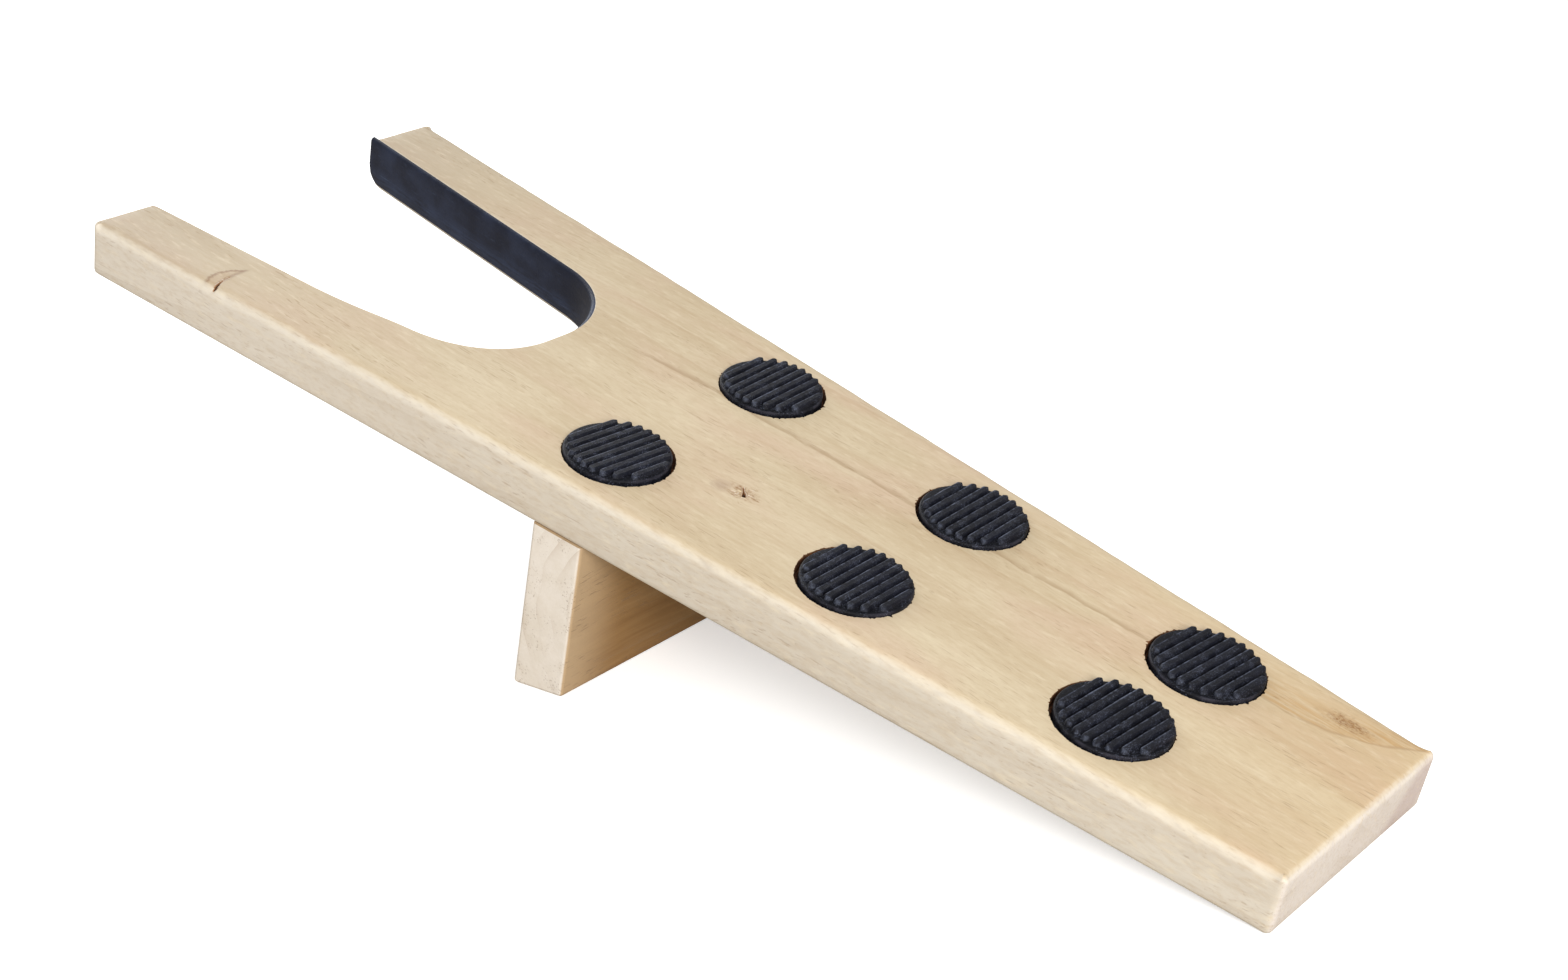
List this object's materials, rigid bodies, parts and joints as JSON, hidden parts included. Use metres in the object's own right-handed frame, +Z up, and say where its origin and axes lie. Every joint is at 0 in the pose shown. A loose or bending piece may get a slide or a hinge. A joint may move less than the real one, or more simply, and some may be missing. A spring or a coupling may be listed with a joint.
{
  "type": "boot jack",
  "caption": "Sloping wooden boot jack with a rubber-lined heel notch, ribbed rubber tread pads and a leg",
  "frame": {"origin": "centre of the leg's foot, on the floor", "axes": "+Z up; the plank slopes down along +X to its low end, the fork is towards -X; -Y is the left side seen by a person on the low end facing the fork"},
  "size_m": [0.3431, 0.1186, 0.0975],
  "materials": {
    "wood": "sanded, unvarnished pine",
    "liner_rubber": "satin",
    "pad_rubber": "matt, ribbed",
    "screw_steel": "zinc plated"
  },
  "bodies": {
    "root": {"board": "wood", "leg": "wood", "leg_screw_left": "screw_steel", "leg_screw_right": "screw_steel", "notch_liner": "liner_rubber", "tread_pad_left_lower": "pad_rubber", "tread_pad_left_middle": "pad_rubber", "tread_pad_left_upper": "pad_rubber", "tread_pad_right_lower": "pad_rubber", "tread_pad_right_middle": "pad_rubber", "tread_pad_right_upper": "pad_rubber"}
  },
  "joints": []
}
